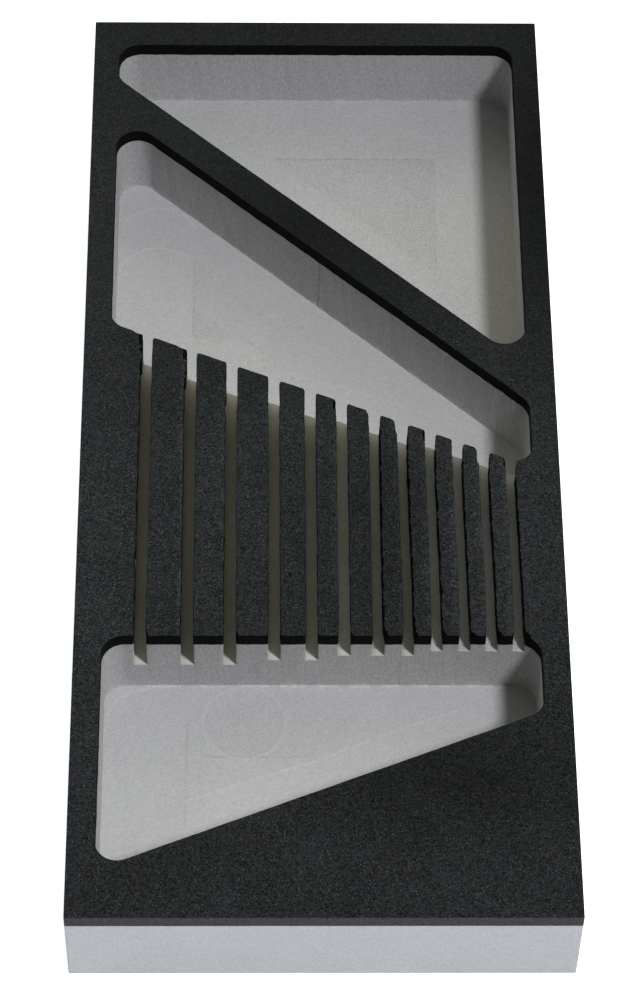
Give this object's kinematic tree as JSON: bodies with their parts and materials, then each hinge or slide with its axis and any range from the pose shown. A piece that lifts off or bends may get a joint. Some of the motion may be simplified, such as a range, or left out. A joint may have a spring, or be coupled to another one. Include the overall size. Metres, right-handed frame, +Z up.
{
  "type": "foam tool drawer insert",
  "caption": "Two-tone foam insert for a tool chest drawer: angled pockets joined by stepped slots that hold flat tools on edge.",
  "frame": {"origin": "centre of the underside", "axes": "+Z up out of the pockets, +X to the right across the width, +Y along the length towards the far pocket"},
  "size_m": [0.172, 0.394, 0.04],
  "materials": {
    "grey_foam": "matte",
    "black_foam": "matte"
  },
  "bodies": {
    "root": {"grey_foam_base": "grey_foam", "black_top_frame": "black_foam", "black_top_strip_01": "black_foam", "black_top_strip_02": "black_foam", "black_top_strip_03": "black_foam", "black_top_strip_04": "black_foam", "black_top_strip_05": "black_foam", "black_top_strip_06": "black_foam", "black_top_strip_07": "black_foam", "black_top_strip_08": "black_foam", "black_top_strip_09": "black_foam", "black_top_strip_10": "black_foam", "black_top_strip_11": "black_foam"}
  },
  "joints": []
}
